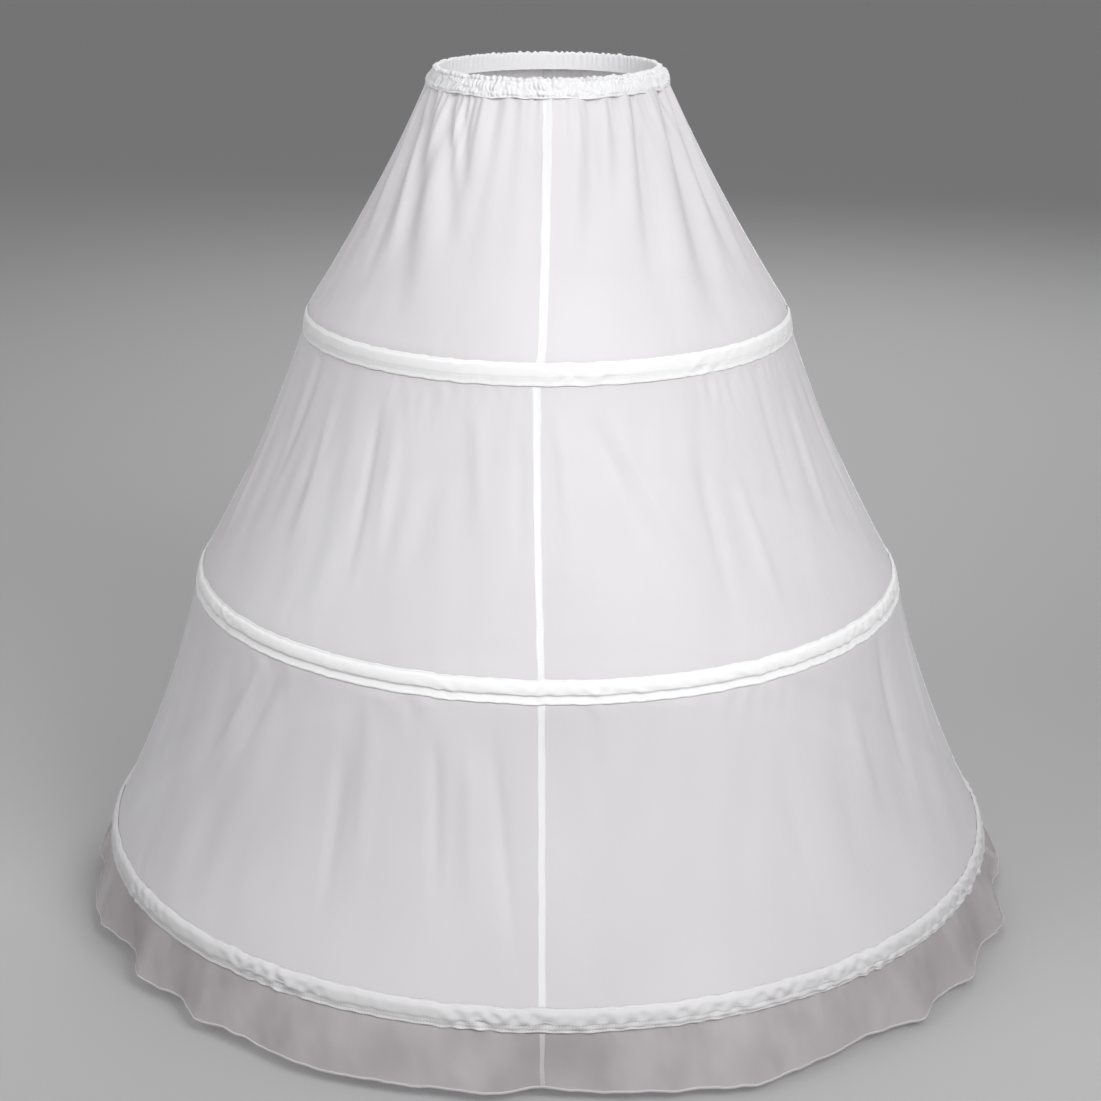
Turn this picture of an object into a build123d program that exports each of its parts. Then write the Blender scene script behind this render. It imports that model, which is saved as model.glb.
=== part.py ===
from build123d import *
import os
from math import cos, pi, sin

# A three-hoop crinoline cage worn as a petticoat: four sheer gores hang from a gathered
# elastic waistband, three steel hoops in sewn casings hold them out, and a fluted flounce
# falls below the lowest hoop.
# All sizes are millimetres. The origin is the centre of the waist, at half the waistband's
# height, +Z is up and the front faces -Y. Left and right are those of someone facing the front.

# Cloth, and the room between layers that are sewn together
cloth = 0.6
layer_gap = 0.2

# Waistband: cloth folded over an elastic, its outer leg gathered into puckers
waist_radius = 113.5
band_height = 20.0
band_top_radius = 117.8
band_bottom_radius = 129.0
band_fold = 1.5
pucker_count = 36
pucker_depth = 1.4
elastic_width = 14.0
elastic_thickness = 1.0

# Hoops: flat coated spring steel, joined in a sleeve at the centre back. Each leans out with
# the cloth that it spreads: hoop_leans gives how far, as a share of its height.
hoop_radii = (262.3, 388.3, 499.0)
hoop_leans = (0.23, 0.38, 0.45)
bone_width = 10.0
bone_thickness = 1.2
bone_end_gap = 2.0
joiner_length = 45.0
joiner_wall = 0.4
joiner_gap = 0.1

# Casings: a tape sewn round the outside of the gores over each hoop
casing_drops = (258.0, 541.0, 836.0)
casing_height = 23.0
casing_shoulder = 2.5
casing_edge = 1.3

# Gores: cut straight past each hoop, and drawn in a little between the hoops
gore_top_radius = 124.6
gore_tuck = 4.0
hoop_margin = 3.0
upper_sag = 4.5
middle_sag = 7.0
middle_sag_place = 0.55
lower_sag = 10.0
lower_sag_place = 0.45
lip = 5.0

# Soft folds that run down the top tier from the gathers and die out at the first hoop
folds_per_gore = 3
fold_top_depth = 1.8
fold_upper_depth = 7.0
fold_lower_depth = 4.5
fold_upper_place = 0.33
fold_lower_place = 0.68

# Seams: the bound allowances inside each join of two gores
seam_width = 7.0
seam_thickness = 0.5
seam_gap = 0.35

# Flounce: a gathered strip that flares out below the lowest casing, with a rolled hem
flounce_drop = 57.0
flounce_flare = 20.0
flute_depth = 9.0
flutes_per_gore = 8
points_per_flute = 5
hem_height = 4.0
hem_thickness = 1.6

# Flat steps that stand for the round, the same in all that lies together
facets_per_gore = 18
quarter = pi / 2
overrun = 5.0
flatness = 1e-3

# Heights and radii that follow from the sizes above
band_top = band_height / 2
band_bottom = -band_height / 2
channel_depth = bone_thickness + 2 * (joiner_gap + joiner_wall + layer_gap)
channel_height = bone_width + 2 * (joiner_gap + joiner_wall + layer_gap)
casing_tops = [band_top - drop for drop in casing_drops]
casing_bottoms = [top - casing_height for top in casing_tops]
bone_heights = [top - casing_shoulder - channel_height / 2 for top in casing_tops]
gore_radii = [radius - channel_depth / 2 for radius in hoop_radii]
gore_top = band_bottom + gore_tuck
gore_bottom = casing_bottoms[2] + lip
hem_bottom = casing_bottoms[2] - flounce_drop
flat_share = cos(quarter / facets_per_gore / 2)

sides = {"front_right": 0, "back_right": 1, "back_left": 2, "front_left": 3}
seams = {"centre_front_seam": 0, "right_side_seam": 1, "centre_back_seam": 2, "left_side_seam": 3}
hoops = {"upper": 0, "middle": 1, "lower": 2}


def polar(radius, angle, height):
    """A point at an angle from the centre front, turning towards the right."""
    return Vector(radius * sin(angle), -radius * cos(angle), height)


def between(start, end, share):
    return start + (end - start) * share


def hoop_line(n, height):
    """Outside of the gores where a hoop spreads them."""
    return gore_radii[n] + hoop_leans[n] * (bone_heights[n] - height)


def loop_through(points):
    """A closed wire of straight edges."""
    return Wire.make_polygon(points, close=True)


def flat_faces(corners):
    """One flat face through four corners, or two where they don't lie in one plane."""
    a, b, c, d = corners
    twist = (b - a).cross(c - a).dot(d - a)
    if abs(twist) < flatness:
        return [Face(loop_through(corners))]
    return [Face(loop_through([a, b, c])), Face(loop_through([a, c, d]))]


def stack(rings):
    """A solid between closed rings of corners, each ring level and all with as many corners."""
    faces = [Face(loop_through(rings[0])), Face(loop_through(rings[-1]))]
    for upper, lower in zip(rings, rings[1:]):
        for step in range(len(upper)):
            back = step - 1
            faces += flat_faces([upper[back], upper[step], lower[step], lower[back]])
    return Solid(Shell(faces))


def tube_body(stations, count, wave=None):
    """A solid of straight-sided rings stacked through (height, radius) stations."""
    rings = []
    for height, radius in stations:
        points = []
        for step in range(count):
            angle = 4 * quarter * step / count
            offset = wave(angle) if wave else 0
            points.append(polar(radius + offset, angle, height))
        rings.append(points)
    return stack(rings)


def hoop_band(inner, outer):
    """A ring between two stacks of stations, in the flat steps that all hoops share."""
    count = 4 * facets_per_gore
    low = outer[-1][0]
    high = outer[0][0]
    reach = [(high + overrun, inner[0][1])] + inner + [(low - overrun, inner[-1][1])]
    return tube_body(outer, count) - tube_body(reach, count)


def leaning_band(n, near, far, low, high):
    """A ring that lies between two distances from the gores, along one hoop."""
    inner = [(height, hoop_line(n, height) + near) for height in (high, low)]
    outer = [(height, hoop_line(n, height) + far) for height in (high, low)]
    return hoop_band(inner, outer)


def cloth_panel(stations, start, count, wave):
    """A quarter of cloth lofted through (height, radius, wave depth, thickness) stations."""
    rings = []
    for height, radius, depth, thickness in stations:
        outside = []
        inside = []
        for step in range(count + 1):
            share = step / count
            angle = start + quarter * share
            line = radius + depth * wave(share)
            outside.append(polar(line, angle, height))
            inside.append(polar(line - thickness, angle, height))
        rings.append(outside + inside[::-1])
    return stack(rings)


# Waistband


def band_radius(height):
    """Middle of the puckers on the band's outer leg, which leans out over the gathers."""
    return between(band_top_radius, band_bottom_radius, (band_top - height) / band_height)


def pucker(angle):
    return pucker_depth / 2 * cos(pucker_count * angle)


def waistband():
    points = 4 * pucker_count
    low = band_bottom - overrun
    ceiling = band_top - band_fold
    outer_leg = [(height, band_radius(height)) for height in (band_top, band_bottom)]
    pocket_wall = [(height, band_radius(height) - cloth) for height in (ceiling, low)]
    body = tube_body(outer_leg, points, pucker)
    pocket = tube_body(pocket_wall, points, pucker)
    inner_leg = Cylinder(waist_radius + cloth, 4 * band_height)
    waist = Cylinder(waist_radius, 4 * band_height)
    return body - (pocket - inner_leg) - waist


def waist_elastic():
    inner = waist_radius + cloth + layer_gap
    middle = (band_bottom + band_top - band_fold) / 2
    low = middle - elastic_width / 2
    high = middle + elastic_width / 2
    outer = inner + elastic_thickness
    return hoop_band([(high, inner), (low, inner)], [(high, outer), (low, outer)])


# Gores


def fold(share):
    """Inward folds across a gore, still at its seams."""
    return -sin(pi * share) * (1 - cos(2 * pi * folds_per_gore * share)) / 2


def tier_station(top, bottom, share, sag, depth=0):
    """A station part of the way down a tier, given as its (height, radius) ends."""
    height = between(top[0], bottom[0], share)
    radius = between(top[1], bottom[1], share) - sag
    return (height, radius, depth, cloth)


def gore_stations():
    waist = (gore_top, gore_top_radius)
    head_heights = [top + hoop_margin for top in casing_tops]
    foot_heights = [bottom - hoop_margin for bottom in casing_bottoms[:2]] + [gore_bottom]
    heads = [(height, hoop_line(n, height)) for n, height in enumerate(head_heights)]
    feet = [(height, hoop_line(n, height)) for n, height in enumerate(foot_heights)]
    return [
        tier_station(waist, heads[0], 0, 0, fold_top_depth),
        tier_station(waist, heads[0], fold_upper_place, upper_sag, fold_upper_depth),
        tier_station(waist, heads[0], fold_lower_place, upper_sag, fold_lower_depth),
        tier_station(waist, heads[0], 1, 0),
        tier_station(feet[0], heads[1], 0, 0),
        tier_station(feet[0], heads[1], middle_sag_place, middle_sag),
        tier_station(feet[0], heads[1], 1, 0),
        tier_station(feet[1], heads[2], 0, 0),
        tier_station(feet[1], heads[2], lower_sag_place, lower_sag),
        tier_station(feet[1], heads[2], 1, 0),
        tier_station(feet[2], feet[2], 1, 0),
    ]


def gore(side):
    return cloth_panel(gore_stations(), side * quarter, facets_per_gore, fold)


# Flounce


def flute(share):
    """Flutes across a quarter of the flounce, drawn in at the seams."""
    swell = 0.85 + 0.15 * cos(6 * pi * share)
    return -swell * cos(2 * pi * flutes_per_gore * share)


def flounce_stations():
    top = gore_bottom - layer_gap
    free = casing_bottoms[2]
    top_radius = hoop_line(2, top) * flat_share
    free_radius = hoop_line(2, free) * flat_share
    hem_top = hem_bottom + hem_height
    hem_radius = free_radius + flounce_flare
    return [
        (top, top_radius, 0, cloth),
        (free, free_radius, 0, cloth),
        (hem_top, hem_radius, flute_depth, cloth),
        (hem_bottom, hem_radius, flute_depth, hem_thickness),
    ]


def flounce(side):
    points = flutes_per_gore * points_per_flute
    return cloth_panel(flounce_stations(), side * quarter, points, flute)


# Seams


def seam_line():
    """The inside of the cloth along a seam, from the waist to the hem."""
    line = []
    for height, radius, depth, thickness in gore_stations():
        line.append((height, radius + depth * fold(0) - thickness))
    for height, radius, depth, thickness in flounce_stations():
        line.append((height, radius + depth * flute(0) - thickness))
    return line


def seam(side):
    near = [(radius - seam_gap, height) for height, radius in seam_line()]
    far = [(radius - seam_thickness, height) for radius, height in near]
    angle = side * quarter
    points = [polar(radius, angle, height) for radius, height in near + far[::-1]]
    across = Vector(cos(angle), sin(angle), 0) * seam_width
    strip = Solid.extrude(Face(loop_through(points)), across)
    return strip.translate(across * -0.5)


# Hoops and their casings


def casing(n):
    """A tape that stands off over the bone and lies down again to its stitched lower edge."""
    top = casing_tops[n]
    shoulder = top - casing_shoulder
    channel_foot = shoulder - channel_height
    bottom = casing_bottoms[n]
    heights = (top, shoulder, channel_foot, bottom)
    near = (layer_gap, channel_depth, channel_depth, layer_gap)
    thickness = (cloth, cloth, cloth, casing_edge)
    inner = [(z, hoop_line(n, z) + gap) for z, gap in zip(heights, near)]
    outer = [(z, radius + wall) for (z, radius), wall in zip(inner, thickness)]
    return hoop_band(inner, outer)


def bone(n):
    """A split steel hoop, its ends a little apart at the centre back."""
    low = bone_heights[n] - bone_width / 2
    high = bone_heights[n] + bone_width / 2
    near = (channel_depth - bone_thickness) / 2
    ring = leaning_band(n, near, near + bone_thickness, low, high)
    slit = Box(bone_end_gap, 2 * bone_width, 2 * bone_width)
    return ring - slit.translate((0, hoop_radii[n], bone_heights[n]))


def joiner(n):
    """The flat sleeve that both ends of a hoop slide into."""
    low = bone_heights[n] - bone_width / 2 - joiner_gap
    high = bone_heights[n] + bone_width / 2 + joiner_gap
    near = (channel_depth - bone_thickness) / 2 - joiner_gap
    far = channel_depth - near
    slot = leaning_band(n, near, far, low, high)
    wall = joiner_wall
    sleeve = leaning_band(n, near - wall, far + wall, low - wall, high + wall)
    window = Box(joiner_length, hoop_radii[n], 4 * bone_width)
    return (sleeve - slot) & window.translate((0, hoop_radii[n], bone_heights[n]))


parts = {"waistband": waistband(), "waist_elastic": waist_elastic()}
for name, side in sides.items():
    parts[name + "_gore"] = gore(side)
    parts[name + "_flounce"] = flounce(side)
for name, side in seams.items():
    parts[name] = seam(side)
for name, n in hoops.items():
    parts[name + "_casing"] = casing(n)
    parts[name + "_bone"] = bone(n)
    parts[name + "_joiner"] = joiner(n)

os.makedirs("parts", exist_ok=True)
for name, shape in parts.items():
    solids = shape.solids()
    export_step(Compound(solids) if len(solids) > 1 else solids[0], f"parts/{name}.step")
    print(name, len(solids), round(sum(solid.volume for solid in solids)))
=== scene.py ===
import math

import bpy
import numpy as np
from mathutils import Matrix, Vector


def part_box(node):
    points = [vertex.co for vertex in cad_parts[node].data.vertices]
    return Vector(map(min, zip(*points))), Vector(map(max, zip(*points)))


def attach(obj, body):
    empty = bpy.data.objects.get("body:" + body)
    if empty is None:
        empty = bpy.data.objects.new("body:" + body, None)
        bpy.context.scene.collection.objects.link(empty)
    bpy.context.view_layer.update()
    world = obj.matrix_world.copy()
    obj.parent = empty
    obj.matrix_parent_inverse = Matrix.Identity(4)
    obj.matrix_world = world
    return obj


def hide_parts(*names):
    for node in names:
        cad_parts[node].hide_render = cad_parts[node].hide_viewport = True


# The looks of a three-hoop crinoline cage. All sizes are metres in the part's frame: +Z is up
# and the front faces -Y. Angles are measured from the centre front and turn towards the right
# of someone facing it, and "out" is away from the axis.

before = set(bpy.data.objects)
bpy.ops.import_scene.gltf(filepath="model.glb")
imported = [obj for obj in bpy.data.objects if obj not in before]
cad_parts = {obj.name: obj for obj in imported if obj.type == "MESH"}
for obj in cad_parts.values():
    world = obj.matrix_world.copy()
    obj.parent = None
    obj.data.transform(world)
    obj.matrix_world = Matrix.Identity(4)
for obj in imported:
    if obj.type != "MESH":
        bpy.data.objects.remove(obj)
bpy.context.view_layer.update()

mm = 0.001
turn = 2 * math.pi
quarter = math.pi / 2
cloth_uv = "cloth"
sides = {"front_right": 0, "back_right": 1, "back_left": 2, "front_left": 3}
seams = {"centre_front": 0, "right_side": 1, "centre_back": 2, "left_side": 3}
hoops = {"upper": 0, "middle": 1, "lower": 2}

# How far each hoop hangs out of true, as a rise towards the right
hoop_tilts = (-0.0028, -0.0106, -0.0086)

# The centre front seam wanders: (height, sideways) from the waist to the hem
front_seam_drift = (
    (-10 * mm, 0 * mm),
    (-160 * mm, -2.5 * mm),
    (-240 * mm, -5.5 * mm),
    (-268 * mm, -11 * mm),
    (-400 * mm, -10 * mm),
    (-540 * mm, -6 * mm),
    (-906 * mm, -5 * mm),
)
other_seam_drift = 3 * mm

# Meshes: rows and columns of each kind of piece
gore_columns = 180
gore_rows = 190
tape_section_points = 30
tape_step = 2.4 * mm
flounce_columns = 260
flounce_rows = 26

# Waistband
band_columns = 1300
band_rows = 34
puff_depth = 4.6 * mm
header_height = 4.5 * mm
header_count = 104
header_depth = 1.3 * mm
scallop_depth = 0.9 * mm
stitched_dip = 1.1 * mm
rim_height = 2.4 * mm
rim_tuck = 0.8 * mm
foot_tuck = 1.1 * mm
foot_turn = 0.5 * mm
fold_over = 3 * mm
elastic_room = 1.6 * mm
# Where puffs hang below the band's lower edge: degrees, half width, and how far
droops = (
    (-27, 9 * mm, 1.7 * mm),
    (19, 13 * mm, 1.5 * mm),
    (64, 9 * mm, 1.4 * mm),
    (118, 10 * mm, 2.0 * mm),
    (171, 12 * mm, 2.2 * mm),
    (-131, 9 * mm, 1.8 * mm),
)
# Where the band lies plainer: degrees, spread in degrees, and the share of puffing left
calm_place = (-66, 20, 0.5)

# Folds of each tier: degrees from the centre front at the tier's head and at its foot, half
# width, how far the cloth stands out, and the shares of the tier where the fold starts and ends
front_folds = (
    (
        (6, 3, 7 * mm, 1.6 * mm, 0.0, 0.5),
        (14, 5, 8 * mm, 3.8 * mm, 0.0, 0.8),
        (22, 9, 9 * mm, -5.4 * mm, 0.0, 0.9),
        (26, 15, 6 * mm, 2.8 * mm, 0.0, 0.5),
        (32, 18, 6 * mm, -3.4 * mm, 0.0, 0.5),
        (38, 23, 7 * mm, 3.0 * mm, 0.0, 0.7),
        (43, 26, 4 * mm, -4.4 * mm, 0.0, 0.8),
        (47, 29, 4 * mm, -4.0 * mm, 0.1, 0.75),
        (57, 36, 12 * mm, 7.0 * mm, 0.0, 1.1),
        (65, 44, 9 * mm, -7.0 * mm, 0.0, 1.05),
        (70, 52, 6 * mm, 4.0 * mm, 0.0, 0.95),
        (75, 60, 5 * mm, -3.6 * mm, 0.0, 0.85),
        (80, 67, 5 * mm, 3.4 * mm, 0.0, 0.9),
        (86, 76, 6 * mm, -3.0 * mm, 0.0, 0.8),
        (-9, -5, 8 * mm, -1.2 * mm, 0.0, 0.6),
        (-31, -17, 8 * mm, 2.0 * mm, 0.0, 0.45),
        (-42, -19, 6 * mm, -3.2 * mm, 0.0, 0.5),
        (-47, -22, 5 * mm, 1.4 * mm, 0.0, 0.45),
        (-52, -21, 7 * mm, -4.0 * mm, 0.0, 0.75),
        (-60, -30, 13 * mm, 4.6 * mm, 0.0, 1.1),
        (-66, -37, 9 * mm, -4.4 * mm, 0.0, 1.0),
        (-69, -45, 5 * mm, 3.6 * mm, 0.0, 0.8),
        (-74, -53, 5 * mm, -3.4 * mm, 0.0, 0.9),
        (-80, -62, 5 * mm, 3.4 * mm, 0.0, 0.75),
        (-86, -72, 6 * mm, -3.0 * mm, 0.0, 0.8),
    ),
    (
        (-38, -34, 7 * mm, -2.6 * mm, 0.05, 0.85),
        (-33, -29, 9 * mm, 2.6 * mm, 0.05, 0.9),
        (-15, -10, 9 * mm, 2.2 * mm, 0.02, 0.6),
        (-6, -4, 8 * mm, -2.2 * mm, 0.1, 0.7),
        (2, 5, 6 * mm, 2.4 * mm, 0.05, 0.6),
        (7, 26, 8 * mm, -2.2 * mm, 0.05, 0.8),
        (11, 31, 9 * mm, 2.6 * mm, 0.05, 0.85),
        (31, 31, 8 * mm, -3.0 * mm, 0.2, 0.95),
        (37, 41, 8 * mm, 2.6 * mm, 0.3, 1.0),
        (53, 50, 8 * mm, -2.0 * mm, 0.0, 0.7),
        (64, 61, 8 * mm, 2.4 * mm, 0.1, 0.8),
        (76, 77, 8 * mm, -2.4 * mm, 0.1, 0.9),
        (-52, -50, 8 * mm, 2.0 * mm, 0.1, 0.8),
        (-62, -64, 8 * mm, -2.4 * mm, 0.0, 0.7),
        (-76, -77, 8 * mm, 2.4 * mm, 0.2, 1.0),
    ),
    (
        (-47, -66, 8 * mm, 2.8 * mm, 0.0, 0.6),
        (-43, -61, 8 * mm, -2.2 * mm, 0.0, 0.55),
        (-30, -28, 9 * mm, -2.8 * mm, 0.15, 0.95),
        (-26, -24, 13 * mm, 3.0 * mm, 0.0, 0.95),
        (-16, -13, 7 * mm, -3.2 * mm, 0.08, 0.8),
        (-11, -9, 10 * mm, 2.6 * mm, 0.1, 0.8),
        (-8, -3, 7 * mm, -3.0 * mm, 0.05, 1.0),
        (6, 9, 9 * mm, -1.6 * mm, 0.0, 0.5),
        (20, 27, 11 * mm, 1.8 * mm, 0.0, 0.6),
        (34, 36, 12 * mm, -1.8 * mm, 0.2, 0.9),
        (49, 52, 11 * mm, 2.2 * mm, 0.1, 0.8),
        (62, 60, 9 * mm, -2.4 * mm, 0.0, 0.7),
        (78, 75, 10 * mm, 2.4 * mm, 0.0, 0.8),
        (-78, -80, 10 * mm, -2.4 * mm, 0.0, 0.8),
    ),
)
fold_swell = 1.3
back_fold_jitter = 4.0
gather_depth = 1.3 * mm
gather_reach = 30 * mm
wide_slack = 1.1 * mm
narrow_slack = 0.8 * mm
# Puckers in the gores beside each casing: depth, and how far from the casing they reach
puckers_above = (0.6 * mm, 12 * mm)
puckers_below = (1.1 * mm, 20 * mm)

# Flounce: degrees from the centre front, and how far the hem stands out there from its mean
front_hem = (
    (-102, 4 * mm),
    (-90, 7 * mm),
    (-84, -5 * mm),
    (-76, 3 * mm),
    (-69, 4 * mm),
    (-61, -14 * mm),
    (-55, 6 * mm),
    (-48, -8 * mm),
    (-43, 5 * mm),
    (-36, -1 * mm),
    (-27, 8 * mm),
    (-20, 6 * mm),
    (-12, 1 * mm),
    (-7, 3 * mm),
    (-1.5, -11 * mm),
    (4, -6 * mm),
    (10, 3 * mm),
    (15, 8 * mm),
    (22, 20 * mm),
    (27, 12 * mm),
    (37, 1 * mm),
    (41, 4 * mm),
    (46, 17 * mm),
    (51, 3 * mm),
    (57, 15 * mm),
    (64, -1 * mm),
    (71, 13 * mm),
    (80, -5 * mm),
    (88, 9 * mm),
    (97, -4 * mm),
)
back_flute_turn = (6.5, 10.5)
back_crest = (4 * mm, 14 * mm)
back_dip = (-12 * mm, -2 * mm)
flute_depth = 9 * mm
# How the flutes open on the way down, and how many degrees they twist towards their tops
flute_curve = 0.85
flute_twist = 1.6
small_waves = 1.1 * mm
crumples = 0.5 * mm
flounce_gathers = 1.1 * mm
flounce_gather_share = 0.22
hem_rises = (1.4 * mm, 0.5 * mm)
hem_roll = 0.25 * mm
hem_height = 3.0 * mm
hem_thickness = 1.1 * mm

# Seams and stitches
seam_width = 8.5 * mm
# Shares of that width: at the waist, how much it loses on the way down, and on the flounce
seam_head_share = 1.16
seam_taper = 0.28
flounce_seam_share = 0.65
seam_taper_length = 0.5
seam_outside = 0.5 * mm
seam_inside = 1.1 * mm
stitch_length = 2.3 * mm
stitch_pitch = 3.2 * mm
stitch_width = 0.5 * mm
stitch_height = 0.35 * mm

# Camera and floor. view_down is in degrees, and the sizes of the lens are in millimetres
eye = (3 * mm, -2372 * mm, 284 * mm)
view_down = 18.96
sensor_width = 36
focal_length = 72.7
floor_radius = 30
floor_gap = 12 * mm
# Below this share of threads, cloth lets light through its shadow too
open_cover = 0.9


# Lines read from the solids


def level_rings(node):
    """(height, outer radius) of each level ring of corners in a solid, highest first."""
    levels = {}
    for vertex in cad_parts[node].data.vertices:
        x, y, z = vertex.co
        level = round(z, 5)
        levels[level] = max(levels.get(level, 0), math.hypot(x, y))
    return sorted(levels.items(), reverse=True)


def smooth_line(stations, spans, step=0.5 * mm, blur=7 * mm):
    """Heights and radii of a line that curves through each span of stations, with soft bends
    where the spans meet."""
    high = stations[0][0]
    low = stations[-1][0]
    heights = np.arange(high, low, -step)
    radii = np.zeros_like(heights)
    for first, last in spans:
        span = np.array(stations[first : last + 1])
        curve = np.polyfit(span[:, 0], span[:, 1], len(span) - 1)
        inside = (heights <= span[0, 0]) & (heights >= span[-1, 0])
        radii[inside] = np.polyval(curve, heights[inside])
    reach = int(blur / step)
    window = np.hanning(2 * reach + 1)
    padded = np.pad(radii, reach, mode="reflect", reflect_type="odd")
    return heights, np.convolve(padded, window / window.sum(), mode="valid")


gore_rings = level_rings("front_right_gore")
heads = (3, 6, 9)
feet = (4, 7, 10)
tier_heads = [gore_rings[0], gore_rings[feet[0]], gore_rings[feet[1]]]
tier_feet = [gore_rings[place] for place in heads]
tier_spans = ((0, 3), (3, 4), (4, 6), (6, 7), (7, 9), (9, 10))
line_heights, line_radii = smooth_line(gore_rings, tier_spans)
gore_top = gore_rings[0][0]
gore_bottom = gore_rings[-1][0]
casing_spans = [[corner.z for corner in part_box(name + "_casing")][::-1] for name in hoops]
band_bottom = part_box("waistband")[0].z
band_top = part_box("waistband")[1].z
hem_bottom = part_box("front_right_flounce")[0].z
hoop_levels = [(high + low) / 2 for high, low in casing_spans]


def skirt_radius(height):
    """Radius of the outside of the cloth, down to the lowest hoop and a little past it."""
    return np.interp(-height, -line_heights, line_radii)


def lift(angle, height):
    """How far the cloth stands above its level, where the hoops hang a little out of true."""
    levels = [0] + [-level for level in hoop_levels]
    tilt = np.interp(-height, levels, (0,) + hoop_tilts)
    return tilt * skirt_radius(height) * np.sin(angle)


def polar(radius, angle, height):
    return np.stack([radius * np.sin(angle), -radius * np.cos(angle), height], axis=-1)


# Soft, seeded ripples and steps


def ripple(across, down, seed, turns, pitches, count=14):
    """Seamless ripples, mostly from -1 to 1. turns is the range of ripples round the skirt,
    pitches the range of metres from ripple to ripple down it."""
    draw = np.random.default_rng(seed)
    total = 0
    for _ in range(count):
        around = draw.integers(turns[0], turns[1] + 1)
        slope = turn / draw.uniform(*pitches) * draw.choice((-1, 1))
        total = total + np.cos(around * across + slope * down + draw.uniform(0, turn))
    return total / math.sqrt(2 * count)


def smooth_step(value):
    value = np.clip(value, 0, 1)
    return value * value * (3 - 2 * value)


def wrapped(angle):
    return (angle + math.pi) % turn - math.pi


# Where each seam runs


def seam_angle(side, height):
    side = side % 4
    if side == 0:
        levels, drift = np.array(front_seam_drift).T
        sideways = np.interp(-height, -levels, drift)
    else:
        sideways = other_seam_drift * ripple(side, height, 40 + side, (1, 2), (0.4, 1.2), 5)
    below = np.maximum(height, gore_bottom)
    return side * quarter + sideways / skirt_radius(below)


def between_seams(side, heights, columns):
    """Angles from one seam to the next, a row for each height."""
    start = seam_angle(side, heights)
    end = seam_angle(side + 1, heights) + (turn if side == 3 else 0)
    return start + (end - start) * np.linspace(0, 1, columns)[None]


# Folds of the cloth


def folds_all_round():
    """The folds of the front, and the same kind of folds across the back."""
    draw = np.random.default_rng(21)
    tiers = []
    for front in front_folds:
        back = []
        for head, foot, width, depth, start, end in front:
            shift = draw.uniform(-back_fold_jitter, back_fold_jitter)
            if abs(head) < 84:
                back.append((180 - head + shift, 180 - foot + shift, width, depth, start, end))
        tiers.append(front + tuple(back))
    return tiers


def hung_folds(tier, angle, height):
    """Folds that hang in one tier. Those of the top tier fall nearly straight down from the
    gathers, so their angles close in faster near the waist."""
    high, high_radius = tier_heads[tier]
    low, low_radius = tier_feet[tier]
    radius = skirt_radius(height)
    share = np.clip((high - height) / (high - low), 0, 1)
    toward_head = (1 / radius - 1 / low_radius) / (1 / high_radius - 1 / low_radius)
    total = 0
    for head, foot, width, depth, start, end in fold_tiers[tier]:
        centre = np.radians(foot + (head - foot) * toward_head)
        across = radius * wrapped(angle - centre) / (width * (1 + fold_swell * share * (tier == 0)))
        length = end - start
        grow = smooth_step((share - start) / (0.3 * length))
        grow = np.where(start > 0, grow, 0.45 + 0.55 * grow)
        fade = 1 - smooth_step((share - start - 0.45 * length) / (0.55 * length))
        total = total + depth * grow * fade * np.exp(-across * across)
    return total


def gathers(angle, height):
    """Uneven gathers just below the waistband."""
    fine = ripple(angle, height, 3, (40, 110), (0.25, 0.9), 18)
    wide = ripple(angle, height, 4, (16, 44), (0.5, 1.6))
    down = np.maximum(band_bottom - height, 0)
    return gather_depth * (
        0.9 * fine * np.exp(-down / gather_reach) + 1.6 * wide * np.exp(-down / (3 * gather_reach))
    )


def tier_wrinkles(angle, height):
    """Slack between the hoops, and small slanting puckers beside each casing."""
    total = 0
    for tier in (1, 2):
        high = tier_heads[tier][0]
        low = tier_feet[tier][0]
        share = np.clip((high - height) / (high - low), 0, 1)
        window = np.sin(math.pi * share) ** 0.8
        wide = ripple(angle, height, 50 + tier, (7, 26), (0.6, 3))
        narrow = ripple(angle, height, 60 + tier, (16, 60), (0.12, 0.5))
        total = total + window * (wide_slack * wide + narrow_slack * narrow)
    edges = [tier_feet[0][0], tier_heads[1][0], tier_feet[1][0], tier_heads[2][0], tier_feet[2][0]]
    for place, edge in enumerate(edges):
        depth, reach = puckers_below if place % 2 else puckers_above
        nearness = np.exp(-np.abs(height - edge) / reach)
        crimp = ripple(angle, height, 70 + place, (40, 130), (0.04, 0.16))
        patchy = np.clip(0.3 + ripple(angle, 0, 75 + place, (4, 17), (1, 2)), 0.05, 1.2)
        total = total + depth * nearness * crimp * patchy
    return total


fold_tiers = folds_all_round()


def folds(angle, height):
    hidden = 0
    for high, low in casing_spans:
        middle = (high + low) / 2
        beyond = np.abs(height - middle) - (high - low) / 2
        hidden = np.maximum(hidden, 1 - smooth_step((beyond + 1 * mm) / (7 * mm)))
    loose = gathers(angle, height) + tier_wrinkles(angle, height)
    for tier in range(3):
        inside = (height <= tier_heads[tier][0] + 1 * mm) & (height >= tier_feet[tier][0] - 1 * mm)
        loose = loose + np.where(inside, hung_folds(tier, angle, height), 0)
    return loose * (1 - hidden)


def cloth_point(angle, height, out=0.0):
    """A point on the gores, or a little way out from them."""
    radius = skirt_radius(height) + folds(angle, height) + out
    return polar(radius, angle, height + lift(angle, height))


def hoop_point(angle, height, out):
    """A point beside a hoop, where the cloth has no folds."""
    return polar(skirt_radius(height) + out, angle, height + lift(angle, height))


# Flounce


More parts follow.
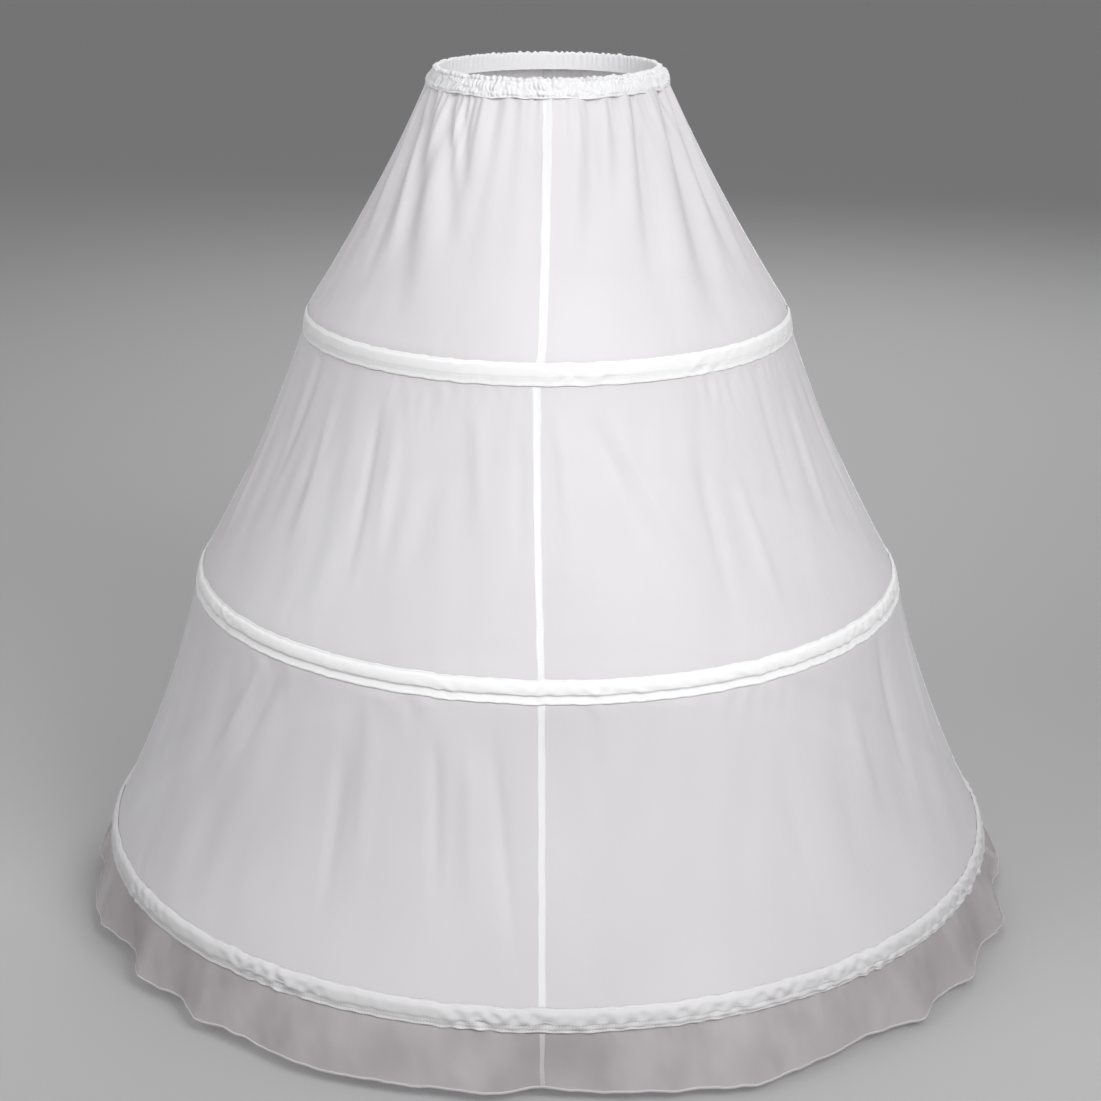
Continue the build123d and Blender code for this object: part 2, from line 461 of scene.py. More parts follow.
def hem_turns():
    """The angle and stand-off of each crest and dip of the hem, all the way round."""
    draw = np.random.default_rng(17)
    line = list(front_hem)
    crest = True
    place = front_hem[-1][0]
    end = front_hem[0][0] + 360
    while place < end - 2 * back_flute_turn[1]:
        place += draw.uniform(*back_flute_turn)
        line.append((place, draw.uniform(*(back_crest if crest else back_dip))))
        crest = not crest
    return np.array(line)


hem_line = hem_turns()
flounce_rings = level_rings("front_right_flounce")


def flute(angle):
    """How far the hem stands out from its mean. Each flute rises to a pinched crest."""
    places = np.radians(hem_line[:, 0])
    sizes = hem_line[:, 1]
    places = np.append(places, places[0] + turn)
    sizes = np.append(sizes, sizes[0])
    spot = places[0] + (np.asarray(angle) - places[0]) % turn
    before = np.clip(np.searchsorted(places, spot, side="right") - 1, 0, len(places) - 2)
    share = (spot - places[before]) / (places[before + 1] - places[before])
    start = sizes[before]
    end = sizes[before + 1]
    from_dip = np.where(end > start, share, 1 - share)
    rise = 0.5 * smooth_step(from_dip) + 0.5 * from_dip**1.3
    return np.minimum(start, end) + np.abs(end - start) * rise


def flounce_point(angle, height, out=0.0):
    """A point on the flounce, which hangs from the foot of the gores."""
    top_radius = flounce_rings[0][1]
    free = flounce_rings[1][0]
    mean_radius = flounce_rings[-1][1] - flute_depth
    share = np.clip((free - height) / (free - hem_bottom), 0, 1)
    twist = math.radians(flute_twist) * (1 - share) * ripple(angle, 0, 11, (5, 30), (1, 2))
    wave = flute(angle + twist) * share**flute_curve
    small = small_waves * share * ripple(angle, height, 10, (40, 90), (0.15, 0.6))
    crumple = crumples * share * ripple(angle, height, 12, (60, 160), (0.02, 0.09))
    fine = ripple(angle, height, 15, (90, 220), (0.06, 0.3)) * (share > 0)
    gathering = flounce_gathers * np.exp(-share / flounce_gather_share) * fine
    flare = (mean_radius - top_radius) * share**flute_curve
    radius = top_radius + flare + wave + small + crumple + gathering + out
    slow_rise = hem_rises[0] * ripple(angle, 0, 13, (6, 40), (1, 2))
    quick_rise = hem_rises[1] * ripple(angle, 0, 16, (50, 130), (1, 2))
    rise = share * (slow_rise + quick_rise)
    return polar(radius, angle, height + rise + lift(angle, gore_bottom))


# Meshes


def grid_piece(name, points, around=False, down=False, material=None):
    """A smooth mesh through rows of points. around joins each row's ends, down joins the last
    row to the first. Its cloth map runs in metres along the rows and down them."""
    rows, columns = points.shape[:2]
    row_list = np.arange(rows if down else rows - 1)
    column_list = np.arange(columns if around else columns - 1)
    row, column = np.meshgrid(row_list, column_list, indexing="ij")
    next_row = (row + 1) % rows
    next_column = (column + 1) % columns
    corners = [
        row * columns + column,
        next_row * columns + column,
        next_row * columns + next_column,
        row * columns + next_column,
    ]
    faces = np.stack(corners, axis=-1).reshape(-1, 4)
    mesh = bpy.data.meshes.new(name)
    mesh.vertices.add(rows * columns)
    mesh.vertices.foreach_set("co", points.reshape(-1))
    mesh.loops.add(faces.size)
    mesh.loops.foreach_set("vertex_index", faces.reshape(-1))
    mesh.polygons.add(len(faces))
    mesh.polygons.foreach_set("loop_start", np.arange(0, faces.size, 4))
    mesh.polygons.foreach_set("use_smooth", np.ones(len(faces), bool))
    mesh.update(calc_edges=True)
    mesh.validate()

    along = np.linalg.norm(np.diff(points, axis=1), axis=2).mean() * np.arange(columns + 1)
    across = np.linalg.norm(np.diff(points, axis=0), axis=2).mean() * np.arange(rows + 1)
    u = np.stack([along[column], along[column], along[column + 1], along[column + 1]], axis=-1)
    v = np.stack([across[row], across[row + 1], across[row + 1], across[row]], axis=-1)
    layer = mesh.uv_layers.new(name=cloth_uv)
    layer.data.foreach_set("uv", np.stack([u, v], axis=-1).reshape(-1))

    piece = bpy.data.objects.new(name, mesh)
    bpy.context.scene.collection.objects.link(piece)
    if material:
        mesh.materials.append(material)
    return piece


def settle(piece, slot, *nodes):
    """A piece rides with the whole cage, and stands for the solids that it replaces."""
    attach(piece, "root")
    if nodes:
        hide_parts(*nodes)


def stitches(name, centres, along, out, material, slot):
    """A row of short threads: centres, the way that each runs and the way that it faces."""
    along = along / np.linalg.norm(along, axis=1, keepdims=True)
    out = out / np.linalg.norm(out, axis=1, keepdims=True)
    side = np.cross(along, out)
    length = along * stitch_length / 2
    width = side * stitch_width / 2
    height = out * stitch_height
    middle = length * 0.55
    rings = [
        centres - length,
        centres - middle - width,
        centres - middle + height,
        centres - middle + width,
        centres + middle - width,
        centres + middle + height,
        centres + middle + width,
        centres + length,
    ]
    points = np.stack(rings, axis=1)
    pattern = np.array(
        [
            (0, 2, 1), (0, 3, 2), (0, 1, 3),
            (1, 2, 4), (2, 5, 4), (2, 3, 5), (3, 6, 5), (3, 1, 6), (1, 4, 6),
            (4, 5, 7), (5, 6, 7), (6, 4, 7),
        ]
    )
    offsets = np.arange(len(centres))[:, None, None] * len(rings)
    faces = (pattern[None] + offsets).reshape(-1, 3)
    mesh = bpy.data.meshes.new(name)
    mesh.from_pydata(points.reshape(-1, 3), [], faces.tolist())
    mesh.polygons.foreach_set("use_smooth", np.ones(len(faces), bool))
    mesh.materials.append(material)
    piece = bpy.data.objects.new(name, mesh)
    bpy.context.scene.collection.objects.link(piece)
    settle(piece, slot)
    return piece


# Materials


class Shader:
    """Builds one material's nodes."""

    def __init__(self, name):
        self.material = bpy.data.materials.new(name)
        self.material.use_nodes = True
        self.tree = self.material.node_tree
        self.tree.nodes.clear()

    def node(self, kind, **values):
        made = self.tree.nodes.new("ShaderNode" + kind)
        for key, value in values.items():
            setattr(made, key, value)
        return made

    def link(self, source, target):
        self.tree.links.new(source, target)

    def value(self, operation, first, second=None):
        made = self.node("Math", operation=operation)
        for socket, given in zip(made.inputs, (first, second)):
            if given is None:
                continue
            if isinstance(given, (int, float)):
                socket.default_value = given
            else:
                self.link(given, socket)
        return made.outputs[0]

    def noise(self, scale, detail=2.0, stretch=None):
        place = self.node("TexCoord").outputs["Object"]
        if stretch:
            mapping = self.node("Mapping")
            mapping.inputs["Scale"].default_value = stretch
            self.link(place, mapping.inputs["Vector"])
            place = mapping.outputs[0]
        made = self.node("TexNoise")
        made.inputs["Scale"].default_value = scale
        made.inputs["Detail"].default_value = detail
        self.link(place, made.inputs["Vector"])
        return made.outputs["Fac"]

    def weave(self, pitch):
        """Threads that cross over and under, from 0 to 1."""
        split = self.node("SeparateXYZ")
        self.link(self.node("UVMap", uv_map=cloth_uv).outputs[0], split.inputs[0])
        threads = []
        for axis in (0, 1):
            turns = self.value("MULTIPLY", split.outputs[axis], turn / pitch)
            threads.append(self.value("SINE", turns))
        crossing = self.value("MULTIPLY", *threads)
        return self.value("MULTIPLY_ADD", crossing, 0.5)

    def shade(self, low, high, share):
        mix = self.node("Mix", data_type="RGBA")
        mix.inputs["A"].default_value = (*low, 1)
        mix.inputs["B"].default_value = (*high, 1)
        self.link(share, mix.inputs["Factor"])
        return mix.outputs["Result"]

    def bump(self, height, distance, strength=1.0, under=None):
        made = self.node("Bump")
        made.inputs["Strength"].default_value = strength
        made.inputs["Distance"].default_value = distance
        self.link(height, made.inputs["Height"])
        if under:
            self.link(under, made.inputs["Normal"])
        return made.outputs[0]

    def finish(self, surface):
        output = self.node("OutputMaterial")
        self.link(surface, output.inputs["Surface"])
        return self.material


def cloth(name, dark, light, cover, glow, pitch, crease, mottle=7.0):
    """Woven cloth. cover is the share that the threads fill, glow the share of light that comes
    through them, pitch the distance from thread to thread, crease the depth of fine creases and
    mottle how many soft patches there are to a metre."""
    shader = Shader(name)
    colour = shader.shade(dark, light, shader.noise(mottle, 1.5, (1, 1, 0.7)))
    creases = shader.bump(shader.noise(120.0, 1.0, (1, 1, 0.45)), crease, 0.5)
    normal = shader.bump(shader.weave(pitch), pitch / 5, 0.25, creases)
    body = shader.node("BsdfPrincipled")
    body.inputs["Roughness"].default_value = 0.62
    body.inputs["Sheen Weight"].default_value = 0.2
    body.inputs["Sheen Roughness"].default_value = 0.4
    body.inputs["Specular IOR Level"].default_value = 0.3
    shader.link(colour, body.inputs["Base Color"])
    shader.link(normal, body.inputs["Normal"])
    surface = body.outputs[0]
    if glow:
        through = shader.node("BsdfTranslucent")
        shader.link(colour, through.inputs["Color"])
        mix = shader.node("MixShader")
        mix.inputs[0].default_value = glow
        shader.link(surface, mix.inputs[1])
        shader.link(through.outputs[0], mix.inputs[2])
        surface = mix.outputs[0]
    if cover < 1:
        gaps = shader.node("BsdfTransparent")
        mix = shader.node("MixShader")
        mix.inputs[0].default_value = cover
        shader.link(gaps.outputs[0], mix.inputs[1])
        shader.link(surface, mix.inputs[2])
        surface = mix.outputs[0]
        shader.material.use_transparent_shadow = cover < open_cover
    return shader.finish(surface)


def steel(name, dark, light, roughness, metallic, grain):
    shader = Shader(name)
    streaks = shader.noise(60.0, 2.0, (1, 1, grain))
    body = shader.node("BsdfPrincipled")
    body.inputs["Metallic"].default_value = metallic
    body.inputs["Roughness"].default_value = roughness
    shader.link(shader.shade(dark, light, streaks), body.inputs["Base Color"])
    shader.link(shader.bump(streaks, 0.1 * mm, 0.4), body.inputs["Normal"])
    return shader.finish(body.outputs[0])


def studio_floor(name, seen, bounced):
    """A plain pale floor that throws less light back at the object than the camera sees."""
    shader = Shader(name)
    path = shader.node("LightPath").outputs
    shown = shader.value("ADD", path["Is Camera Ray"], path["Is Glossy Ray"])
    shown = shader.value("ADD", shown, path["Is Transmission Ray"])
    body = shader.node("BsdfPrincipled")
    body.inputs["Roughness"].default_value = 0.9
    shader.link(shader.shade(bounced, seen, shown), body.inputs["Base Color"])
    return shader.finish(body.outputs[0])


sheer = cloth(
    "sheer_cloth", (0.78, 0.755, 0.77), (0.90, 0.89, 0.905), 0.92, 0.22, 0.5 * mm, 0.5 * mm
)
# The flounce is the same white sheer cloth as the gores, painted darker: painted shade, with soft
# random patches between its two colours.
painted_shade_flounce = cloth(
    "flounce_cloth", (0.48, 0.43, 0.44), (0.80, 0.76, 0.77), 0.72, 0.25, 0.5 * mm, 0.6 * mm,
    mottle=22,
)
# The folded hem is white cloth painted darker: painted shade.
painted_shade_hem = cloth(
    "hem_cloth", (0.68, 0.64, 0.66), (0.80, 0.77, 0.79), 1, 0.25, 0.5 * mm, 0.4 * mm
)
gathered = cloth(
    "gathered_cloth", (0.80, 0.80, 0.81), (0.88, 0.88, 0.89), 1, 0.1, 0.5 * mm, 0.6 * mm
)
tape = cloth("casing_tape", (0.88, 0.88, 0.89), (0.94, 0.94, 0.94), 1, 0.1, 0.8 * mm, 0.5 * mm)
# The lowest casing takes the same white tape painted darker: painted shade, as the light is dimmer
# low on the skirt.
painted_shade_tape = cloth(
    "lower_casing_tape", (0.66, 0.65, 0.66), (0.80, 0.79, 0.80), 1, 0.1, 0.8 * mm, 0.5 * mm
)
casing_tapes = (tape, tape, painted_shade_tape)
binding = cloth("seam_tape", (0.84, 0.84, 0.85), (0.92, 0.92, 0.93), 1, 0.1, 0.6 * mm, 0.4 * mm)
rib_knit = cloth("elastic_knit", (0.82, 0.82, 0.82), (0.9, 0.9, 0.9), 1, 0, 1.6 * mm, 0.3 * mm)
thread = cloth("thread", (0.93, 0.93, 0.93), (0.97, 0.97, 0.97), 1, 0, 0.3 * mm, 0.1 * mm)
coated = steel("coated_steel", (0.82, 0.82, 0.80), (0.88, 0.88, 0.86), 0.35, 0, 0.3)
crimped = steel("joiner_steel", (0.55, 0.55, 0.56), (0.7, 0.7, 0.71), 0.32, 1, 0.1)


# Gores


def gore(name, side):
    heights = np.linspace(gore_top, gore_bottom, gore_rows)[:, None]
    angle = between_seams(side, heights, gore_columns)
    piece = grid_piece(name + "_panel", cloth_point(angle, heights), material=sheer)
    settle(piece, "sheer_cloth", name + "_gore")


# Waistband


def band_puffs(angle, height):
    """Rounded puffs with pinched creases between them, mostly from 0 to 1."""
    wide = np.hypot(ripple(angle, height, 31, (10, 40), (0.02, 0.07), 16), 0.1) ** 0.75
    narrow = np.hypot(ripple(angle, height, 32, (40, 110), (0.008, 0.03), 16), 0.1) ** 0.75
    calm_angle, calm_spread, calm_share = calm_place
    away = np.degrees(wrapped(angle - math.radians(calm_angle))) / calm_spread
    strength = 1 - (1 - calm_share) * np.exp(-away * away)
    return (0.58 * wide + 0.42 * narrow) * strength


def band_droop(angle, radius):
    total = 0.5 * mm * ripple(angle, 0, 36, (14, 50), (1, 2))
    for place, width, depth in droops:
        across = radius * wrapped(angle - math.radians(place)) / width
        total = total + depth * np.exp(-across * across)
    return total


def band():
    """Cloth folded over the elastic: the inner leg is plain, the outer one is drawn up into
    puffs between a small ruffled header and a smooth lower rim, where it turns under."""
    angle = np.linspace(0, turn, band_columns, endpoint=False)[None]
    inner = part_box("waist_elastic")[1].x - elastic_room
    top_radius = level_rings("waistband")[0][1]
    foot_radius = level_rings("waistband")[-1][1]
    height = band_top - band_bottom
    bumps = np.cos(header_count * angle + 2.4 * ripple(angle, 0, 34, (5, 30), (1, 2)))
    ruffle = bumps * (0.7 + 0.6 * ripple(angle, 0, 35, (9, 50), (1, 2)))
    uneven = 0.7 * mm * ripple(angle, 0, 37, (8, 40), (1, 2))
    crest = band_top - 1.3 * mm + scallop_depth * ruffle + uneven
    fold = band_top - fold_over
    droop = band_droop(angle, foot_radius)
    rows = []
    for share in np.linspace(0, 1, 8):
        level = band_bottom + (fold - band_bottom) * share
        rows.append(polar(inner + 0.3 * mm * bumps * share, angle, level + 0 * angle))
    for bend in np.linspace(0.15, 0.85, 5) * math.pi:
        over = (1 - math.cos(bend)) / 2
        radius = inner + (top_radius - inner) * over + 0.4 * header_depth * ruffle * over
        level = fold + (crest - fold) * math.sin(bend)
        rows.append(polar(radius, angle, level))
    for share in np.linspace(0.03, 1, band_rows):
        down = share * height
        level = crest - (crest - band_bottom) * share - droop * share**3
        lean = top_radius + (foot_radius - top_radius) * share**1.15
        header = 1 - smooth_step((down - header_height) / (1.5 * mm) + 0.5)
        stitched = math.exp(-(((down - header_height) / (1.0 * mm)) ** 2))
        rim = smooth_step((down - height + rim_height) / (3.2 * mm) + 0.5)
        body = (1 - header) * (1 - 0.85 * rim)
        wave = ripple(angle, down, 38, (70, 150), (0.01, 0.03))
        out = header_depth * (ruffle + 0.5 * wave) * header - stitched_dip * stitched
        out = out + puff_depth * (band_puffs(angle, down) - 0.3) * body
        out = out + (0.5 * droop - rim_tuck) * rim
        rows.append(polar(lean + out, angle, level))
    for bend in np.linspace(0.2, 1, 5) * math.pi:
        radius = foot_radius - foot_tuck - foot_turn * (1 - math.cos(bend)) + 0.4 * droop
        level = band_bottom - 0.9 * mm * math.sin(bend) - droop
        rows.append(polar(radius, angle, level))
    piece = grid_piece("band", np.stack([row[0] for row in rows]), around=True, material=gathered)
    settle(piece, "gathered_cloth", "waistband")
    return piece


def elastic():
    low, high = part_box("waist_elastic")
    angle = np.linspace(0, turn, 480, endpoint=False)[None]
    outer = high.x
    inner = outer - 1.0 * mm
    section = [(outer, low.z), (outer, high.z), (inner, high.z), (inner, low.z)]
    rows = []
    for (radius, level), (next_radius, next_level) in zip(section, section[1:] + section[:1]):
        for share in np.linspace(0, 1, 6, endpoint=False):
            place = radius + (next_radius - radius) * share
            rib = 0.12 * mm * np.cos(240 * angle)
            rows.append(polar(place + rib, angle, level + (next_level - level) * share + 0 * angle))
    points = np.stack([row[0] for row in rows])
    piece = grid_piece("waist_elastic_knit", points, around=True, down=True, material=rib_knit)
    settle(piece, "elastic", "waist_elastic")


# Casings, bones and joiners

# Each casing's section in millimetres: (distance down from its top edge, stand-off from the
# gores). The bone fills it out, then it lies down to its sewn foot.
casing_sections = (
    (
        (0.0, 0.5), (0.8, 1.1), (1.9, 1.4), (3.0, 2.2), (4.4, 2.75), (8.3, 2.8), (12.4, 2.7),
        (14.2, 2.3), (16.2, 1.9), (18.4, 1.6), (20.6, 1.6), (22.0, 1.5), (23.0, 0.5),
    ),
    (
        (0.0, 0.5), (0.8, 1.0), (1.7, 0.7), (2.8, 2.0), (4.0, 3.0), (8.3, 3.4), (12.2, 3.0),
        (13.8, 1.9), (15.2, 0.7), (17.4, 0.7), (19.6, 1.0), (21.4, 1.6), (23.0, 0.5),
    ),
    (
        (0.0, 0.5), (0.8, 1.3), (1.9, 2.5), (3.2, 3.6), (5.0, 4.1), (8.3, 3.8), (11.4, 3.2),
        (13.4, 2.5), (14.8, 1.4), (16.2, 0.8), (18.2, 0.7), (20.2, 0.9), (21.4, 1.7), (23.0, 0.6),
    ),
)
casing_thickness = 0.7 * mm
# The least that a casing's outside and its inside stand off the gores
casing_least = 0.3 * mm
lining_least = 0.12 * mm
# Rows of stitches in a casing: distance down from its top edge
casing_rows = (("top", 1.3 * mm), ("channel", 15.0 * mm), ("foot", 20.2 * mm))
# Small puckers and soft swells of each casing, and how far it rises and falls
casing_puckers = (0.32 * mm, 0.52 * mm, 1.0 * mm)
casing_swell = 0.25 * mm
casing_wavers = (0.4 * mm, 0.5 * mm, 0.65 * mm)
pucker_turns = ((30, 110), (50, 170), (40, 190))
# How much further the lowest casing's bulge hangs over its foot on the left than on the right,
# and how far its foot is filled out on the right
overhang = 1.2 * mm
overhang_start = 6 * mm
overhang_length = 8 * mm
foot_filling = 1.6 * mm
foot_filling_drop = 17 * mm
foot_filling_reach = 3 * mm
# The least that any casing stands off the gores where it covers the bone or its sleeve, and
# how far that is down from its top edge, to the middle and on either side
bone_cover = 2.5 * mm
bone_drop = 8.3 * mm
bone_reach = 4.9 * mm
bone_gap = 0.7 * mm
bone_thickness = 1.2 * mm
bone_end_gap = 2 * mm
bone_step = 6 * mm
joiner_length = 45 * mm
joiner_wall = 0.45 * mm
# How a casing stands out over a seam, and where its two ends lie over each other behind
seam_rise = 0.45 * mm
lap_rise = 0.5 * mm
lap_half = 14 * mm
lap_turn = 0.05


def casing_out(n, angle, down):
    """How far the outside of a casing stands off the gores, at a distance below its top."""
    places, offsets = np.array(casing_sections[n]).T * mm
    drop = 0
    filling = 0
    if n == hoops["lower"]:
        hanging = smooth_step((down - overhang_start) / overhang_length)
        drop = overhang * (0.2 - 0.8 * np.sin(angle)) * hanging
        fullness = smooth_step(0.4 + 0.8 * np.sin(angle))
        nearness = np.exp(-(((down - foot_filling_drop) / foot_filling_reach) ** 2))
        filling = foot_filling * fullness * nearness
    out = np.interp(down - drop, places, offsets) + filling
    wrinkle = ripple(angle, down, 80 + n, pucker_turns[n], (0.009, 0.035), 18)
    patches = 0.8 + 0.8 * ripple(angle, 0, 85 + n, (4, 16), (1, 2)) + 0.6 * np.sin(angle)
    wrinkle = wrinkle * np.clip(patches, 0.25, 1.7)
    soft = ripple(angle, down, 90 + n, (9, 40), (0.05, 0.2))
    room = np.minimum(1, out / (1.6 * mm))
    out = out + (casing_puckers[n] * wrinkle + casing_swell * soft) * room
    over_bone = np.abs(down - bone_drop) < bone_reach
    out = np.where(over_bone, np.maximum(out, bone_cover), out)
    for side in range(4):
        middle = skirt_radius(hoop_levels[n]) * wrapped(angle - seam_angle(side, hoop_levels[n]))
        out = out + seam_rise * np.exp(-((middle / (seam_width / 2)) ** 4))
    overlap = skirt_radius(hoop_levels[n]) * wrapped(angle - math.pi - lap_turn)
    return out + lap_rise * smooth_step((lap_half - np.abs(overlap)) / (1 * mm))


def casing_waver(n, angle):
    """How far a casing rises and falls along its hoop."""
    slow = ripple(angle, 0, 100 + n, (20, 70), (1, 2))
    quick = ripple(angle, 0, 105 + n, (80, 200), (1, 2))
    return casing_wavers[n] * (slow + 0.7 * quick)


def casing(name, n):
    high = casing_spans[n][0]
    radius = skirt_radius(hoop_levels[n])
    columns = int(turn * radius / tape_step)
    angle = np.linspace(0, turn, columns, endpoint=False)[None]
    places = np.array([place for place, _ in casing_sections[n]]) * mm
    down = np.interp(
        np.linspace(0, len(places) - 1, tape_section_points), np.arange(len(places)), places
    )[:, None]
    uneven = casing_waver(n, angle)
    facing = np.maximum(casing_out(n, angle, down), casing_least)
    outer = hoop_point(angle, high - down + uneven, facing)
    back = down[::-3]
    lining = np.maximum(casing_out(n, angle, back) - casing_thickness, lining_least)
    inner = hoop_point(angle, high - back + uneven, lining)
    points = np.concatenate([outer, inner])
    piece = grid_piece(name + "_tape", points, around=True, down=True, material=casing_tapes[n])
    settle(piece, "casing_tape", name + "_casing")
    for place, row_down in casing_rows:
        casing_stitches(f"{name}_{place}_stitches", n, row_down)


def casing_stitches(name, n, down):
    radius = skirt_radius(hoop_levels[n])
    count = int(turn * radius / stitch_pitch)
    angle = np.linspace(0, turn, count, endpoint=False)
    high = casing_spans[n][0]
    uneven = casing_waver(n, angle)
    out = np.maximum(casing_out(n, angle, np.full_like(angle, down)), casing_least)
    centres = hoop_point(angle, high - down + uneven, out - 0.05 * mm)
    along = np.roll(centres, -1, axis=0) - np.roll(centres, 1, axis=0)
    face = polar(np.ones_like(angle), angle, 0 * angle)
    return stitches(name, centres, along, face, thread, "casing_tape")


def bar_section(near, far, height, points=4):
    """A closed outline of a flat bar with rounded edges: (stand-off, rise) pairs."""
    edge = (far - near) / 2
    middle = (near + far) / 2
    reach = height / 2 - edge
    section = []
    for bend in np.linspace(0, math.pi, points):
        section.append((middle + edge * math.cos(bend), reach + edge * math.sin(bend)))
    for bend in np.linspace(math.pi, turn, points):
        section.append((middle + edge * math.cos(bend), -reach + edge * math.sin(bend)))
    return section


def bent_bar(name, level, section, start, end, columns, material):
    """A bar of that section bent round a hoop from one angle to another, its ends shut."""
    angle = np.linspace(start, end, columns)
    rows = []
    for stand_off, rise in section:
        height = np.full_like(angle, level + rise)
        rows.append(hoop_point(angle, height, stand_off))
    points = np.stack(rows)
    middle_start = points[:, :1].mean(axis=0, keepdims=True) + 0 * points[:, :1]
    middle_end = points[:, -1:].mean(axis=0, keepdims=True) + 0 * points[:, -1:]
    points = np.concatenate([middle_start, points, middle_end], axis=1)
    return grid_piece(name, points, down=True, material=material)


def bone_and_joiner(name):
    """The steel hoop, its ends a little apart at the centre back, and the sleeve over them."""
    low, high = (corner.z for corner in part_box(name + "_bone"))
    level = (low + high) / 2
    height = high - low
    near = bone_gap
    far = near + bone_thickness
    slit = bone_end_gap / 2 / skirt_radius(level)
    start = math.pi + slit
    columns = int(turn * skirt_radius(level) / bone_step)
    end = start + turn - 2 * slit
    section = bar_section(near, far, height)
    bone = bent_bar(name + "_bone_strip", level, section, start, end, columns, coated)
    settle(bone, "coated_steel", name + "_bone")
    half = joiner_length / 2 / skirt_radius(level)
    start = math.pi - half
    end = math.pi + half
    section = bar_section(near - joiner_wall, far + joiner_wall, height + 2 * joiner_wall)
    sleeve = bent_bar(name + "_joiner_sleeve", level, section, start, end, 24, crimped)
    settle(sleeve, "joiner_steel", name + "_joiner")


# Flounce and its hem


def flounce(name, side):
    top = flounce_rings[0][0]
    share = np.linspace(0, 1, flounce_rows)[:, None]
    heights = top + (hem_bottom + hem_height / 2 - top) * share
    angle = between_seams(side, heights, flounce_columns)
    piece = grid_piece(name + "_frill", flounce_point(angle, heights), material=painted_shade_flounce)
    settle(piece, "flounce_cloth", name + "_flounce")

    section = bar_section(-hem_thickness / 2, hem_thickness / 2, hem_height)
    middle = hem_bottom + hem_height / 2
    rows = []
    for out, rise in section:
        level = np.full((1, flounce_columns), middle)
        point = flounce_point(angle[-1:], level, out)
        roll = hem_roll * ripple(angle[-1:], 0, 14, (120, 300), (1, 2))
        point[..., 2] += rise + roll
        rows.append(point[0])
    hem = grid_piece(name + "_hem", np.stack(rows), down=True, material=painted_shade_hem)
    settle(hem, "flounce_cloth")


# Seams


def seam(name, side):
    """The felled join of two gores: a narrow strip that shows on both sides of the cloth."""
    flounce_top = flounce_rings[0][0]
    heights = np.concatenate(
        [
            np.linspace(band_bottom + 3 * mm, flounce_top, 360),
            np.linspace(flounce_top - 1 * mm, hem_bottom + 1 * mm, 34),
        ]
    )
    hang = heights < flounce_top
    under = np.zeros_like(heights)
    for high, low in casing_spans:
        beyond = np.abs(heights - (high + low) / 2) - (high - low) / 2
        under = np.maximum(under, 1 - smooth_step(beyond / (3 * mm)))
    widths = seam_width * (seam_head_share - seam_taper * smooth_step(-heights / seam_taper_length))
    widths = widths * np.where(hang, flounce_seam_share, 1)
    widths = widths * (1 + 0.05 * ripple(side, heights, 110 + side, (1, 3), (0.02, 0.08)))
    wobble = 0.35 * mm * ripple(side, heights, 115 + side, (1, 3), (0.03, 0.12))
    middle = seam_angle(side, heights)
    radius = skirt_radius(np.maximum(heights, gore_bottom))
    section = []
    for across in (-1, -0.93, -0.72, -0.45, 0, 0.45, 0.72, 0.93, 1):
        edge = max(0, abs(across) - 0.6) / 0.4
        face = 0.65 + 0.35 * math.sin(math.pi * edge) if abs(across) < 1 else 0.2
        section.append((across, seam_outside * face))
    for across in (1, 0.6, 0, -0.6, -1):
        section.append((across, -seam_inside))
    columns = []
    for across, out in section:
        angle = middle + (across * widths / 2 + wobble) / radius
        puff = 0.12 * mm * ripple(side, heights, 120 + side, (1, 3), (0.012, 0.04))
        outside = out * (1 - 0.85 * under) + puff if out > 0 else np.full_like(heights, out)
        on_gore = cloth_point(angle, heights, outside)
        on_flounce = flounce_point(angle, heights, outside)
        columns.append(np.where(hang[:, None], on_flounce, on_gore))
    points = np.stack(columns, axis=1)
    end_top = points[:1].mean(axis=1, keepdims=True) + 0 * points[:1]
    end_foot = points[-1:].mean(axis=1, keepdims=True) + 0 * points[-1:]
    points = np.concatenate([end_top, points, end_foot])
    piece = grid_piece(name + "_fell", points, around=True, material=binding)
    # Down the flounce the seam takes the hem cloth, painted darker: painted shade.
    piece.data.materials.append(painted_shade_hem)
    for face in piece.data.polygons:
        face.material_index = int(face.center.z < flounce_top)
    settle(piece, "seam_tape", name + "_seam")
    for label, across in (("left", -0.72), ("right", 0.72)):
        row_name = f"{name}_{label}_stitches"
        seam_stitches(row_name, side, across, widths, heights, wobble)


def seam_stitches(name, side, across, widths, heights, wobble):
    spots = np.arange(band_bottom - 3 * mm, gore_bottom, -stitch_pitch)
    for high, low in casing_spans:
        spots = spots[(spots > high + 2 * mm) | (spots < low - 2 * mm)]
    width = np.interp(-spots, -heights, widths)
    shift = np.interp(-spots, -heights, wobble)
    angle = seam_angle(side, spots) + (across * width / 2 + shift) / skirt_radius(spots)
    centres = cloth_point(angle, spots, seam_outside)
    below = cloth_point(angle, spots - 1 * mm, seam_outside)
    face = polar(np.ones_like(angle), angle, 0 * angle + 0.4)
    return stitches(name, centres, below - centres, face, thread, "seam_tape")


# Floor, lights and camera


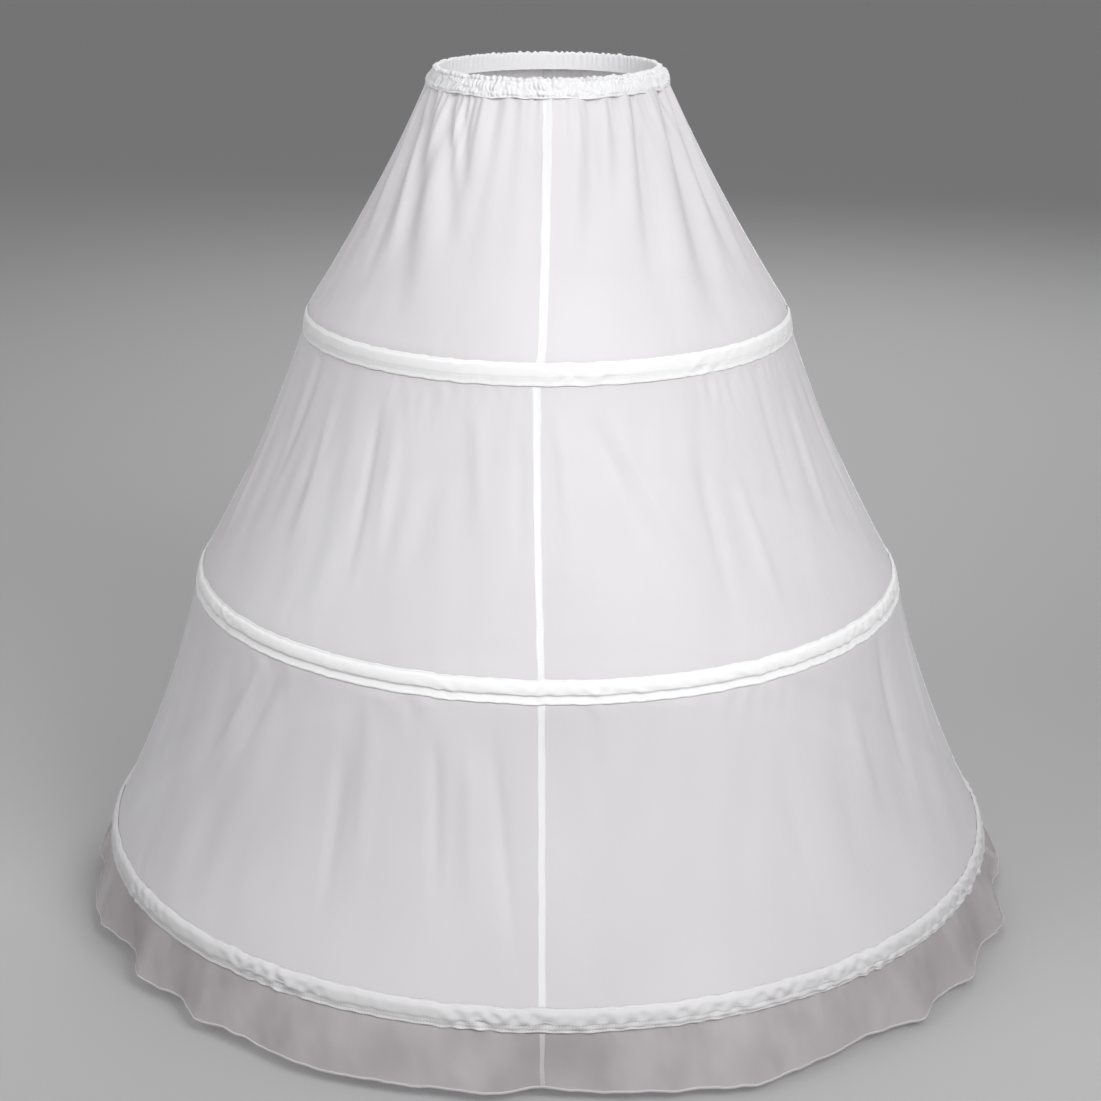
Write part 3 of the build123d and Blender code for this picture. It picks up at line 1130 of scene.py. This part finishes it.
def floor():
    bpy.ops.mesh.primitive_circle_add(vertices=96, radius=floor_radius, fill_type="NGON")
    ground = bpy.context.object
    ground.name = "floor"
    ground.location = (0, 0, hem_bottom - floor_gap)
    seen = (0.44, 0.44, 0.445)
    bounced = (0.14, 0.14, 0.14)
    ground.data.materials.append(studio_floor("pale_floor", seen, bounced))


def soft_light(name, place, target, size, power, spread=180):
    lamp = bpy.data.lights.new(name, "AREA")
    lamp.spread = math.radians(spread)
    lamp.shape = "SQUARE"
    lamp.size = size
    lamp.energy = power
    made = bpy.data.objects.new(name, lamp)
    made.location = place
    aim = Vector(place) - Vector(target)
    made.rotation_euler = aim.to_track_quat("Z", "Y").to_euler()
    bpy.context.scene.collection.objects.link(made)


def lights():
    centre = (0, 0, -0.45)
    soft_light("key", (1.05, -1.8, 0.85), (0.05, -0.3, -0.33), 1.2, 9.8, 78)
    soft_light("fill", (-2.1, -1.4, 1.0), (0, 0, -0.3), 2.0, 11, 100)
    soft_light("rear", (0.6, 2.8, 1.6), centre, 2.4, 44)
    world = bpy.data.worlds.new("soft_room")
    world.use_nodes = True
    background = world.node_tree.nodes["Background"]
    background.inputs["Color"].default_value = (0.9, 0.9, 0.91, 1)
    background.inputs["Strength"].default_value = 0.4
    bpy.context.scene.world = world


def camera():
    """The photograph's view: an eye a little above the waist, looking down at the skirt."""
    lens = bpy.data.cameras.new("camera")
    lens.sensor_width = sensor_width
    lens.lens = focal_length
    lens.clip_end = 100
    made = bpy.data.objects.new("camera", lens)
    made.location = eye
    made.rotation_euler = (math.radians(90 - view_down), 0, 0)
    bpy.context.scene.collection.objects.link(made)
    bpy.context.scene.camera = made


waist_cloth = band()
elastic()
for hoop_name, hoop_number in hoops.items():
    bone_and_joiner(hoop_name)
    casing(hoop_name, hoop_number)
for side_name, side_number in sides.items():
    gore(side_name, side_number)
for side_name, side_number in sides.items():
    flounce(side_name, side_number)
for seam_name, seam_number in seams.items():
    seam(seam_name, seam_number)
floor()
lights()
camera()
bpy.context.scene.view_settings.view_transform = "Standard"
